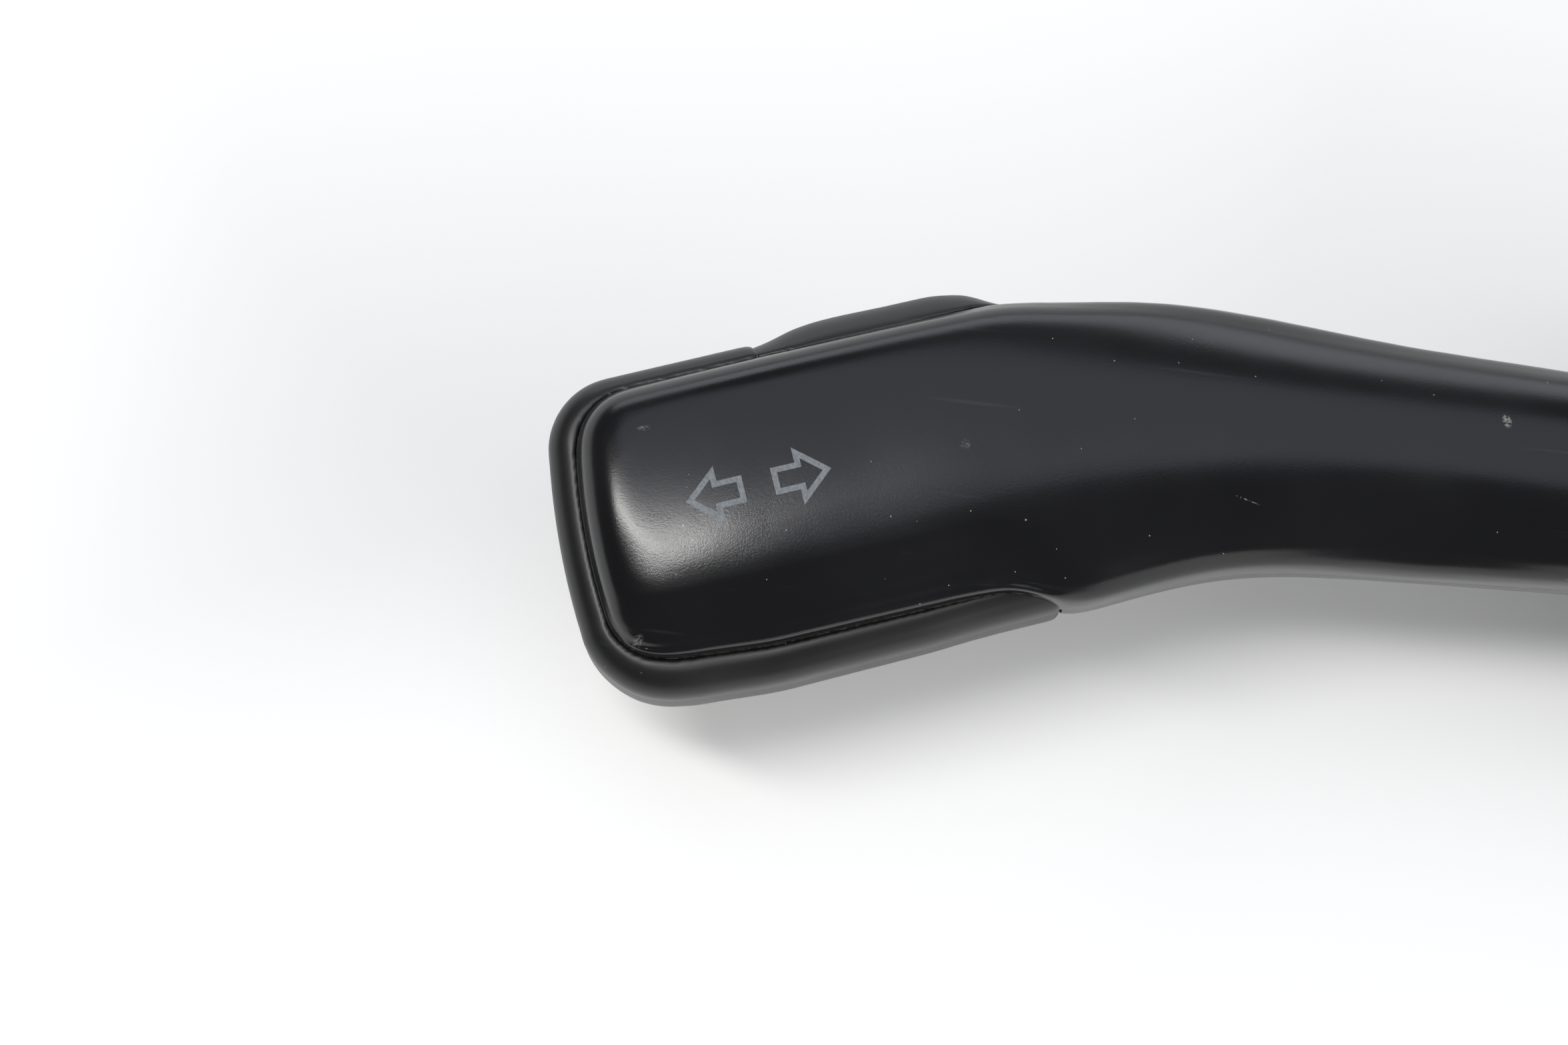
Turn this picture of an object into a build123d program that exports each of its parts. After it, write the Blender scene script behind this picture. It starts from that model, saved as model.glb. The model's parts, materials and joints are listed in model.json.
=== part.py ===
"""Combination stalk switch: a turn-signal, high-beam and dip lever with a side rocker in its head,
on a two-axis pivot in a housing that bolts to a steering column bracket.

Row frame, millimetres: +Z is the face with the arrows, the lever runs to -X and the steering shaft
passes on the +X side. The origin is the middle of the mounting plate's back face.
"""
import os
from math import cos, radians, sin, sqrt

from build123d import *

# ---- fits and clearances -------------------------------------------------------------------------
FIT = 0.05            # radial clearance of a pin that turns in a bore
GAP = 0.3             # clear space between pieces that move past each other
SEAM = 0.15           # gap of a moulded parting line

# ---- lever: plan ---------------------------------------------------------------------------------
LEVER_Z = 21.0        # height of the lever's middle plane
NECK_X = -64.0        # reference section of the neck
HEAD_TILT = 20.0      # the head points down by this angle from the neck
HEAD_X = -132.3       # a point on the head's centre line
HEAD_Y = -9.3
COVER_UP = 12.0       # front cover: its sides above and below the head's centre line
COVER_LOW = 13.15
COVER_TIP = 16.0      # from the head point to the cover's end
COVER_R_UP = 4.9
COVER_R_LOW = 5.8
TIP_BOW = 0.45        # the end face bulges by this much
NECK_HALF = 9.75
NECK_TAPER = 0.05     # sideways narrowing of the neck per mm towards the root
JOIN_TILT = 16.0      # the head's rear shell ends on a line at this angle
JOIN_X = -110.4
JOIN_Y = -2.8

# ---- lever: depth (heights from the middle plane) ------------------------------------------------
WALL = 1.8
RIM_R = 3.8           # rolled edge of front and neck
CAVITY_R = 1.9        # the same edge inside the wall
PARTING = -1.0        # lower edge of the front shell
CROWN_TIP = 6.7       # crown heights along the front
CROWN_HEAD = 7.9
CROWN_NECK = 7.4
CROWN_R_HEAD = 44.0   # crown radii across the front
CROWN_R_NECK = 13.5
REAR_DROP = 0.9       # the neck's rear is this much deeper than its front
TRAY_DEPTH = 9.6      # back of the head's rear shell
TRAY_RIM = 2.2        # its front rim, around the cover
TRAY_SIDE_UP = 14.05  # its sides above and below the head's centre line
TRAY_SIDE_LOW = 16.55
TRAY_TAPER = 0.02     # sideways narrowing of its lower side per mm towards the neck
TRAY_TIP = 18.5
TRAY_R_UP = 6.0
TRAY_R_LOW = 8.8
TRAY_RIM_R = 2.6
TRAY_BACK_R = 5.0
LIP = 1.0             # width of the lip the cover sits on
FOOT_T = 24.3         # rounded lower corner where this shell ends at the neck
FOOT_R = 6.0

# ---- rocker (along and across the head) ----------------------------------------------------------
ROCKER_T = 12.0       # its pivot
ROCKER_W = 11.4
ROCKER_START = 1.6
ROCKER_END = 22.9
ROCKER_PROUD = 0.55   # stands out of the shell's side by this much
ROCKER_TOP = 2.0      # top of the lip beside the cover
ROCKER_LIP_END = 22.1
ROCKER_SHELF = -1.4   # top of the part under the cover
ROCKER_SWING = 0.2    # room for the lip's ends when the rocker tilts
ROCKER_LOW = -7.4
ROCKER_LOW_R = 2.6
ROCKER_TOP_R = 1.8
ROCKER_SLANT = 2.0    # its tip end leans, so that no light passes the gap
ROCKER_INSIDE = 10.4  # inner side of its body
ROCKER_INNER = 10.1
ROCKER_ARM = 6.5      # the two switches are this far from the pivot
ROCKER_PIN_R = 1.0

# ---- core, pivot and shaft line ------------------------------------------------------------------
PIVOT_X = -18.0       # turn and dip axes cross here, at y = 0
CORE_HALF = 4.0
CORE_END = -110.0
BOSS_R = 6.0
BOSS_HALF = 4.7
DIP_PIN_R = 2.0
TAIL_X = -7.0         # inner end of the lever core
PLUNGER_R = 2.0
PLUNGER_NOSE_R = 1.5
DIP_REACH = 13.3      # nose of the dip plunger from the pivot
DIP_BORE_X = -14.0

# ---- turn carrier --------------------------------------------------------------------------------
CHEEK_IN = 5.0
CHEEK_OUT = 9.0
CARRIER_X0 = -25.0
CARRIER_X1 = 2.0
CARRIER_Z0 = 12.2
CARRIER_Z1 = 29.8
PLATE_T = 2.4
TRUNNION_R = 4.0
ARM_X1 = 9.0          # end of the detent arm
TURN_REACH = 29.0     # nose of the turn plunger from the pivot
TURN_BORE_X = 0.0
TURN_ANGLE = 13.0
DRIVE_X = 0.0         # drive pin that moves the contact slider
DRIVE_R = 1.5

# ---- housing -------------------------------------------------------------------------------------
PLATE_Z = 2.0         # mounting plate thickness
HOUSE_X = 28.0        # half sizes of the housing
HOUSE_Y = 24.0
HOUSE_TOP = 40.0
HOUSE_WALL = 2.0
HOUSE_R = 3.0
BALL_R = 20.0         # spherical nose round the pivot
BALL_WALL = 2.0
MOUTH_Y = 8.6         # half sizes of the lever's opening
MOUTH_Z = 7.2
DOME_T = 1.6
DOME_GAP = 0.6
DOME_ANGLE = 41.0
COLLAR = 0.3          # the dome's collar stands out by this much
ROOT_X = PIVOT_X - BALL_R - DOME_GAP - DOME_T - COLLAR - GAP      # the lever's shells end here
COLUMN_X = 23.5       # screw columns in the corners
COLUMN_Y = 19.5
COLUMN_R = 3.4
PLATE_HALF_X = 39.0   # mounting plate and its holes
PLATE_HALF_Y = 33.0
HOLE_X = 32.0
HOLE_Y = 26.0
HOLE_R = 2.75

# ---- board, slider, pawl and connector -----------------------------------------------------------
BOARD_Z = 6.0
BOARD_T = 1.6
TRACK_T = 0.1
SLIDER_HALF_X = 7.0
SLIDER_HALF_Y = 5.0
SLIDER_Z0 = 8.3
SLIDER_T = 2.9
CONTACT_T = 0.4
PAWL_X = 13.5
PAWL_Z = HOUSE_TOP - 9.4
PAWL_T = 2.0
PAWL_PIN_R = 1.5
PAWL_HUB_R = 4.0
PAWL_TIP_X = 33.5
PAWL_TAIL_X = 5.0
SOCKET_X0 = 7.5
SOCKET_X1 = 19.5
SOCKET_Y = 36.0
SOCKET_Z0 = 8.0
SOCKET_Z1 = 19.0
SOCKET_WALL = 1.4
PIN_HALF = 0.5
PIN_PITCH = 2.5
PIN_ROWS = (11.5, 15.5)

# ---- small helpers -------------------------------------------------------------------------------


def block(x0, x1, y0, y1, z0, z1):
    """Box between two corners."""
    size = Box(x1 - x0, y1 - y0, z1 - z0)
    return Pos((x0 + x1) / 2, (y0 + y1) / 2, (z0 + z1) / 2) * size


def post(x, y, z0, z1, r):
    """Cylinder along Z."""
    return Pos(x, y, (z0 + z1) / 2) * Cylinder(r, z1 - z0)


def rod_x(x0, x1, y, z, r):
    """Cylinder along X."""
    return Pos((x0 + x1) / 2, y, z) * Rot(0, 90, 0) * Cylinder(r, x1 - x0)


def rod_y(x, y0, y1, z, r):
    """Cylinder along Y."""
    return Pos(x, (y0 + y1) / 2, z) * Rot(90, 0, 0) * Cylinder(r, y1 - y0)


def joined(pieces):
    """One solid out of touching or overlapping pieces."""
    pieces = list(pieces)
    return pieces[0].fuse(*pieces[1:]) if len(pieces) > 1 else pieces[0]


def along(t, w, z=0.0):
    """Point in the head: t along its centre line towards the neck, w across it."""
    a = radians(HEAD_TILT)
    return Vector(HEAD_X + t * cos(a) - w * sin(a), HEAD_Y + t * sin(a) + w * cos(a), z)


def in_head(shape):
    """Moves a shape drawn on the head's centre line at the middle plane into place."""
    return Pos(HEAD_X, HEAD_Y, LEVER_Z) * Rot(0, 0, HEAD_TILT) * shape


def at_lever(shape):
    return Pos(0, 0, LEVER_Z) * shape


def neck_point(x, y):
    return Vector(NECK_X + x, y)


def direction(angle):
    return Vector(cos(radians(angle)), sin(radians(angle)))


# ---- lever form ----------------------------------------------------------------------------------


def cover_plan(root_x, inset=0.0):
    """Outline of head cover and neck, seen from the front; inset moves it inwards."""
    d = direction(HEAD_TILT)
    up_in = Vector(1, -NECK_TAPER)
    low_out = Vector(-1, -NECK_TAPER)
    up = COVER_UP - inset
    low = -COVER_LOW + inset
    tip = -COVER_TIP + inset
    r_up = COVER_R_UP - inset
    r_low = COVER_R_LOW - inset
    run = root_x - NECK_X + 12
    up_start = along(tip + r_up, up)
    up_end = along(21, up)
    up_neck = neck_point(-12, NECK_HALF + 0.1 - inset)
    low_neck = neck_point(-12, -NECK_HALF - 0.1 + inset)
    low_end = along(16.8, low)
    low_start = along(tip + r_low, low)
    tip_up = along(tip, up - r_up)
    tip_low = along(tip, low + r_low)
    root_up = up_neck + up_in * run
    root_low = low_neck + Vector(1, NECK_TAPER) * run
    flare = [low_neck, neck_point(-29.2, -11.45 + inset), neck_point(-38.4, -14.75 + inset),
             along(22.3, -15.1 + inset), along(19.8, -13.95 + inset), low_end]
    edges = [
        Line(up_start, up_end),
        Spline(up_end, along(28.4, 10.75 - inset), neck_point(-38.5, 11.45 - inset), up_neck,
               tangents=[d, up_in]),
        Line(up_neck, root_up),
        Line(root_up, root_low),
        Line(root_low, low_neck),
        Spline(*flare, tangents=[low_out, -d]),
        Line(low_end, low_start),
        TangentArc(low_start, tip_low, tangent=-d),
        ThreePointArc(tip_low, along(tip - TIP_BOW, 0), tip_up),
        TangentArc(up_start, tip_up, tangent=-d),
    ]
    return make_face(edges)


def tray_plan(inset=0.0):
    """Outline of the head's rear shell, running past its neck end."""
    d = direction(HEAD_TILT)
    up = TRAY_SIDE_UP - inset
    low = -TRAY_SIDE_LOW + inset
    tip = -TRAY_TIP + inset
    r_up = TRAY_R_UP - inset
    r_low = TRAY_R_LOW - inset
    end = 30
    low_end = along(end, low + TRAY_TAPER * (end + TRAY_TIP))
    low_start = along(tip + r_low, low + TRAY_TAPER * r_low)
    edges = [
        Line(along(tip + r_up, up), along(end, up)),
        Line(along(end, up), low_end),
        Line(low_end, low_start),
        TangentArc(low_start, along(tip, low + r_low), tangent=(low_start - low_end).normalized()),
        ThreePointArc(along(tip, low + r_low), along(tip - TIP_BOW, 0), along(tip, up - r_up)),
        TangentArc(along(tip + r_up, up), along(tip, up - r_up), tangent=-d),
    ]
    return make_face(edges)


def crown_section(centre, angle, half, radius, height, floor):
    """Upright section across the lever: a box with an arched top."""
    plane = Plane(origin=centre, x_dir=(-sin(radians(angle)), cos(radians(angle)), 0),
                  z_dir=(cos(radians(angle)), sin(radians(angle)), 0))
    edge = height - radius + sqrt(radius**2 - half**2)
    outline = [
        Line((-half, floor), (half, floor)),
        Line((half, floor), (half, edge)),
        ThreePointArc((half, edge), (0, height), (-half, edge)),
        Line((-half, edge), (-half, floor)),
    ]
    return plane * make_face(outline)


def crown(inset=0.0, extra=0.0):
    """Solid under the lever's arched front, from well past the tip to well past the root."""
    def section(centre, angle, half, radius, height):
        return crown_section(centre, angle, half - inset, radius - inset, height + extra - inset, -16)

    return loft([
        section(along(-36, 0), HEAD_TILT, 30, CROWN_R_HEAD, CROWN_TIP - 5),
        section(along(-19, 0), HEAD_TILT, 30, CROWN_R_HEAD, CROWN_TIP),
        section(along(-3, 0), HEAD_TILT, 30, CROWN_R_HEAD, CROWN_HEAD),
        section(along(12, 0), HEAD_TILT, 28, CROWN_R_HEAD - 6, CROWN_HEAD),
        section(neck_point(-38, -1.5), 11, 20, CROWN_R_NECK + 9, CROWN_HEAD - 0.2),
        section(neck_point(-20, 0), 2, 13.2, CROWN_R_NECK + 1, CROWN_NECK),
        section(neck_point(-2, 0), 0, 12.2, CROWN_R_NECK, CROWN_NECK - 0.1),
        section(neck_point(16, 0), 0, 12.2, CROWN_R_NECK, CROWN_NECK - 0.2),
        section(neck_point(34, 0), 0, 12.2, CROWN_R_NECK, CROWN_NECK - 0.3),
    ])


def rolled(form, radius, root_x):
    """Rounds the edge all round the arched face, leaving the root end square."""
    rim = [e for e in form.edges()
           if e.bounding_box().min.Z > -5.5 and e.bounding_box().min.X < root_x - 0.2]
    return fillet(rim, radius)


def lever_form(root_x, radius, inset=0.0, extra=0.0):
    """Arched lever body from z = -6 up to its crown; inset gives the cavity inside it."""
    wall = Pos(0, 0, -6) * extrude(cover_plan(root_x, inset), 20)
    form = (wall & crown(inset, extra)).solids()[0]
    return rolled(form, radius, root_x)


def neck_side(shape, offset_x=0.0):
    """Keeps what lies on the neck's side of the line where the head's rear shell ends."""
    cutter = Pos(JOIN_X + offset_x, JOIN_Y, 0) * Rot(0, 0, JOIN_TILT) * Pos(100, 0, 0) * Box(200, 120, 80)
    return (shape & cutter).solids()[0]


def head_side(shape):
    cutter = Pos(JOIN_X, JOIN_Y, 0) * Rot(0, 0, JOIN_TILT) * Pos(-100, 0, 0) * Box(200, 120, 80)
    return (shape & cutter).solids()[0]


# ---- lever pieces --------------------------------------------------------------------------------

HEAD_SCREWS = ((-9.0, -3.0), (12.0, -7.0))
NECK_SCREWS = (-52.0, -90.0)
SCREW_R = 1.25
SCREW_HEAD_R = 2.4
SHELL_BOSS_R = 2.6


def front_shell():
    """Head cover and front of the neck in one moulding."""
    shell = lever_form(ROOT_X, RIM_R) - lever_form(ROOT_X + 4, CAVITY_R, WALL)
    shell -= block(-200, 0, -60, 60, -20, PARTING)
    bosses = [in_head(post(t, w, PARTING, CROWN_HEAD - 1.6, SHELL_BOSS_R)) for t, w in HEAD_SCREWS]
    shell = at_lever(shell)
    shell = joined([shell.solids()[0]] + bosses + [
        post(x, 0, LEVER_Z + CORE_HALF, LEVER_Z + CROWN_NECK - 1.2, SHELL_BOSS_R) for x in NECK_SCREWS])
    holes = [in_head(post(t, w, PARTING - 1, 4.5, SCREW_R)) for t, w in HEAD_SCREWS]
    holes += [post(x, 0, LEVER_Z, LEVER_Z + CORE_HALF + 1.6, SCREW_R) for x in NECK_SCREWS]
    return shell.cut(*holes)


def neck_rear_shell():
    """Back of the neck, from the head's rear shell to the root."""
    outer = lever_form(ROOT_X, RIM_R, extra=REAR_DROP)
    shell = outer - lever_form(ROOT_X + 4, CAVITY_R, WALL, REAR_DROP)
    shell -= block(-200, 0, -60, 60, -20, -PARTING)
    shell = neck_side(mirror(shell, Plane.XY), SEAM)
    shell = at_lever(shell)
    seat = LEVER_Z - CORE_HALF
    back = LEVER_Z - CROWN_NECK - REAR_DROP
    shell = joined([shell] + [post(x, 0, back + 1.2, seat, SHELL_BOSS_R + 1) for x in NECK_SCREWS])
    for x in NECK_SCREWS:
        shell -= post(x, 0, back - 2, seat + 1, SCREW_R + 0.15)
        shell -= post(x, 0, back - 2, back + 1.9, SCREW_HEAD_R + 0.2)
    return shell


def level_edges(form, z):
    """Edges of the head's outline at one height, without the neck end."""
    neck_end = along(26, 0).X
    return [e for e in form.edges()
            if abs(e.center().Z - z) < 0.01 and e.bounding_box().size.Z < 0.01 and e.center().X < neck_end]


def side_block(profile, w0, w1):
    """Outline drawn along and upwards in the head, extended across it from w0 to w1."""
    face = Plane.XZ * make_face(Polyline(*profile, close=True))
    return Pos(0, w1, 0) * extrude(face, w1 - w0)


def rocker_end(gap):
    """Profile of the rocker's room: its leaning tip end, and plenty towards the neck."""
    start = ROCKER_START - gap
    lean = ROCKER_SLANT / (ROCKER_TOP - ROCKER_LOW)
    low = ROCKER_LOW - gap
    return [(start + 2 * lean, ROCKER_TOP + 2), (start - ROCKER_SLANT - gap * lean, low),
            (ROCKER_END + 4, low), (ROCKER_END + 4, ROCKER_TOP + 2)]


def rocker_pocket():
    """Opening in the rear shell's upper side, in head coordinates."""
    return side_block(rocker_end(GAP), ROCKER_W - 2.2, 20)


def head_rear_shell():
    """Tray behind the head, with a lip for the cover and the pocket of the rocker."""
    body = Pos(0, 0, -TRAY_DEPTH) * extrude(tray_plan(), TRAY_DEPTH + TRAY_RIM)
    body = fillet(level_edges(body, -TRAY_DEPTH), TRAY_BACK_R)
    body = fillet(level_edges(body, TRAY_RIM), TRAY_RIM_R)
    cavity = Pos(0, 0, -TRAY_DEPTH + WALL) * extrude(tray_plan(WALL), 5.9)
    cavity = fillet(level_edges(cavity, -TRAY_DEPTH + WALL), TRAY_BACK_R - WALL)
    seat = Pos(0, 0, PARTING) * extrude(cover_plan(ROOT_X, -SEAM), 4)
    throat = Pos(0, 0, -4) * extrude(cover_plan(ROOT_X, LIP), 6)
    foot = in_head(block(FOOT_T - FOOT_R, 40, -30, -TRAY_SIDE_LOW + FOOT_R, -20, 5)
                   - post(FOOT_T - FOOT_R, -TRAY_SIDE_LOW + FOOT_R, -21, 6, FOOT_R))
    body = at_lever(head_side(body.cut(cavity, seat, throat)))
    body = body.cut(in_head(rocker_pocket()), foot)
    floor = -TRAY_DEPTH + WALL
    adds = [post(t, w, floor - 0.4, PARTING, SHELL_BOSS_R) for t, w in HEAD_SCREWS]
    adds += [post(ROCKER_T, ROCKER_W, floor - 0.6, ROCKER_LOW - GAP, 2.2)]
    adds += [post(t, w, floor - 0.4, BOARD_LOW, 1.6) for t, w in BOARD_POSTS]
    body = joined([body.solids()[0]] + [in_head(a) for a in adds])
    for t, w in HEAD_SCREWS:
        body -= in_head(post(t, w, -12, 0, SCREW_R + 0.15))
        body -= in_head(post(t, w, -12, -TRAY_DEPTH + 1.4, SCREW_HEAD_R + 0.2))
    body -= in_head(post(ROCKER_T, ROCKER_W, floor - 0.7, 0, ROCKER_PIN_R))
    return body


BOARD_LOW = -4.9
HEAD_BOARD_T = 1.2
BOARD_POSTS = ((-6.0, 5.0), (4.0, -6.0), (14.0, 3.0))


def head_board():
    """Small circuit board behind the cover, cleared round the screw posts."""
    board = block(-11, 19.4, -8.5, 8.2, BOARD_LOW, BOARD_LOW + HEAD_BOARD_T)
    board = board.cut(*[post(t, w, -9, 0, SHELL_BOSS_R + 0.4) for t, w in HEAD_SCREWS])
    return in_head(board)


def side_switches():
    """Two push switches that face the rocker's arms."""
    z0 = BOARD_LOW + HEAD_BOARD_T
    pieces = []
    for side in (-1, 1):
        t = ROCKER_T + side * ROCKER_ARM
        body = block(t - 1.6, t + 1.6, 4.6, 8.8, z0, z0 + 2.4)
        key = block(t - 0.8, t + 0.8, 8.8, 9.4, z0 + 0.7, z0 + 1.7)
        pieces.append(in_head(body.fuse(key)))
    return Compound(children=pieces)


def rocker_button():
    """Side rocker: a bowed face with a lip beside the cover, a hub on its pin and two arms."""
    face = TRAY_SIDE_UP + ROCKER_PROUD
    lip_in = COVER_UP + GAP
    start = (ROCKER_START - ROCKER_SLANT - 1, TRAY_SIDE_UP - 0.1)
    end = (ROCKER_END, COVER_UP + 0.2)
    bow = Spline(start, (ROCKER_START, TRAY_SIDE_UP - 0.05), (ROCKER_START + 4, face), (ROCKER_T, face + 0.05),
                 (ROCKER_END - 5.4, face - 0.1), (ROCKER_END - 2.5, face - 0.7), end)
    inner = [(ROCKER_END, ROCKER_INSIDE - 4), (start[0], ROCKER_INSIDE - 4)]
    plan = make_face([bow, Line(end, inner[0]), Line(inner[0], inner[1]), Line(inner[1], start)])
    body = Pos(0, 0, ROCKER_LOW) * extrude(plan, ROCKER_TOP - ROCKER_LOW)
    for z, radius in ((ROCKER_LOW, ROCKER_LOW_R), (ROCKER_TOP, ROCKER_TOP_R)):
        edge = [e for e in body.edges()
                if abs(e.center().Z - z) < 0.1 and e.center().Y > face - 2.0 and e.length > 8]
        body = fillet(edge, radius)
    body &= side_block(rocker_end(0), ROCKER_INSIDE, 20)
    under_cover = make_face(Polyline(
        (start[0], 9), (start[0], lip_in + ROCKER_SWING), (ROCKER_T, lip_in),
        (ROCKER_LIP_END, lip_in + ROCKER_SWING), (ROCKER_LIP_END, 20), (ROCKER_END + 1, 20),
        (ROCKER_END + 1, 9), close=True))
    body -= Pos(0, 0, ROCKER_SHELF) * extrude(under_cover, 6)
    arms = [block(ROCKER_T + s * ROCKER_ARM - 1.0, ROCKER_T + s * ROCKER_ARM + 1.0, ROCKER_INNER, 11.0,
                  ROCKER_SHELF - 1.9, ROCKER_SHELF - 0.2) for s in (-1, 1)]
    hub = post(ROCKER_T, ROCKER_W, ROCKER_LOW, ROCKER_SHELF, 2.0)
    body = joined([body.solids()[0], hub] + arms)
    body -= post(ROCKER_T, ROCKER_W, -9, 0, ROCKER_PIN_R + FIT)
    return in_head(body)


def rocker_pin():
    floor = -TRAY_DEPTH + WALL
    return in_head(post(ROCKER_T, ROCKER_W, floor - 0.7, ROCKER_SHELF + 0.3, ROCKER_PIN_R))


def screw(x, y, z_head, z_tip, r, head_r, head_t):
    """Pan-head screw along Z with a cross recess; z_head is the seat of its head."""
    sign = 1 if z_head > z_tip else -1
    shank = post(x, y, min(z_head, z_tip), max(z_head, z_tip), r)
    head = post(x, y, min(z_head, z_head + sign * head_t), max(z_head, z_head + sign * head_t), head_r)
    top = z_head + sign * head_t
    slots = [Pos(x, y, top) * Box(head_r * 1.2, 0.5, head_t), Pos(x, y, top) * Box(0.5, head_r * 1.2, head_t)]
    return shank.fuse(head).cut(*slots).solids()[0]


def head_screws():
    seat = LEVER_Z - TRAY_DEPTH + 1.4
    tip = LEVER_Z + 4.0
    screws = []
    for t, w in HEAD_SCREWS:
        p = along(t, w)
        screws.append(screw(p.X, p.Y, seat, tip, SCREW_R, SCREW_HEAD_R, 1.2))
    return Compound(children=screws)


def neck_screws():
    seat = LEVER_Z - CROWN_NECK - REAR_DROP + 1.9
    tip = LEVER_Z + CORE_HALF + 1.4
    return Compound(children=[screw(x, 0, seat, tip, SCREW_R, SCREW_HEAD_R, 1.2) for x in NECK_SCREWS])


def lever_core():
    """Die-cast arm with the dip-axis boss and the bore of the dip plunger."""
    arm = block(CORE_END, TAIL_X, -CORE_HALF, CORE_HALF, -CORE_HALF, CORE_HALF)
    arm = chamfer(arm.edges().filter_by(Axis.X), 0.8)
    boss = rod_y(PIVOT_X, -BOSS_HALF, BOSS_HALF, 0, BOSS_R)
    core = arm.fuse(boss)
    core -= rod_y(PIVOT_X, -9, 9, 0, DIP_PIN_R + FIT)
    core -= rod_x(DIP_BORE_X, TAIL_X + 1, 0, 0, PLUNGER_R + FIT)
    for x in NECK_SCREWS:
        core -= post(x, 0, -9, 9, SCREW_R + 0.15)
    return at_lever(core.solids()[0])


def root_dome():
    """Rigid dust dome on the lever's root, riding over the housing's ball nose."""
    inner = BALL_R + DOME_GAP
    outer = inner + DOME_T
    reach = outer * cos(radians(DOME_ANGLE))
    shell = Sphere(outer) - Sphere(inner)
    shell &= block(-outer - 1, -reach, -outer, outer, -outer, outer)
    collar = rod_x(-outer - COLLAR, -inner, 0, 0, CORE_HALF + 3)
    shell = shell.fuse(collar.solids()[0]) - block(-outer - 2, 0, -CORE_HALF, CORE_HALF, -CORE_HALF, CORE_HALF)
    return Pos(PIVOT_X, 0, LEVER_Z) * shell.solids()[0]


WIRE_R = 0.55
WIRE_Y = 5.2          # the lead runs beside the core
LEAD_END_X = -49.0
PLUG_T = 17.5         # the lead's plug on the head board
PLUG_W = 0.5


def lead_wires():
    """Three wires from the head board along the core to the plug near the root."""
    z0 = BOARD_LOW + HEAD_BOARD_T + 0.9
    wires = []
    for k in range(3):
        z = z0 + k * 1.15 - 0.3
        start = along(PLUG_T, PLUG_W)
        path = FilletPolyline(
            (start.X, start.Y, z), (JOIN_X + 3, -WIRE_Y - 0.6, z), (NECK_X - 14, -WIRE_Y, z), (LEAD_END_X, -WIRE_Y, z),
            radius=6)
        section = Plane(origin=path @ 0, z_dir=path % 0) * Circle(WIRE_R)
        wires.append(at_lever(sweep(section, path)).solids()[0])
    return Compound(children=wires)


def lead_plug():
    """Two small plug bodies: on the head board and beside the core near the root."""
    z0 = BOARD_LOW + HEAD_BOARD_T
    start = along(PLUG_T, PLUG_W)
    low = LEVER_Z + z0
    head = Pos(start.X, start.Y, low + 2.1) * Rot(0, 0, 4) * Pos(-1.85, 0, 0) * Box(3.2, 4.2, 4.2)
    root = block(LEAD_END_X, LEAD_END_X + 5, -WIRE_Y - 1.0, -CORE_HALF, low - 0.4, low + 4.0)
    return Compound(children=[head, root])


# ---- pivot group ---------------------------------------------------------------------------------


def dip_pin():
    return rod_y(PIVOT_X, -CHEEK_OUT, CHEEK_OUT, LEVER_Z, DIP_PIN_R)


def nosed_plunger(base_x, nose_x, z):
    """Plunger along X with a round nose at its +X end."""
    shoulder = nose_x - PLUNGER_NOSE_R
    pin = rod_x(base_x, shoulder - 0.6, 0, z, PLUNGER_R)
    neck = rod_x(shoulder - 0.6, shoulder, 0, z, PLUNGER_NOSE_R)
    nose = Pos(shoulder, 0, z) * Sphere(PLUNGER_NOSE_R)
    return joined([pin, neck, nose]).solids()[0]


def coil_x(x0, x1, z, radius, wire, turns):
    """Compression spring along X."""
    path = Helix(pitch=(x1 - x0 - 2 * wire) / turns, height=x1 - x0 - 2 * wire, radius=radius)
    section = Plane(origin=path @ 0, z_dir=path % 0) * Circle(wire)
    return Pos(x0 + wire, 0, z) * Rot(0, 90, 0) * sweep(section, path)


def dip_plunger():
    return nosed_plunger(DIP_BORE_X + 3.6, PIVOT_X + DIP_REACH, LEVER_Z)


def dip_spring():
    return coil_x(DIP_BORE_X, DIP_BORE_X + 3.6, LEVER_Z, 1.45, 0.22, 3)


def turn_plunger():
    return nosed_plunger(TURN_BORE_X + 4.2, PIVOT_X + TURN_REACH, LEVER_Z)


def turn_spring():
    return coil_x(TURN_BORE_X, TURN_BORE_X + 4.2, LEVER_Z, 1.45, 0.22, 4)


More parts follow.
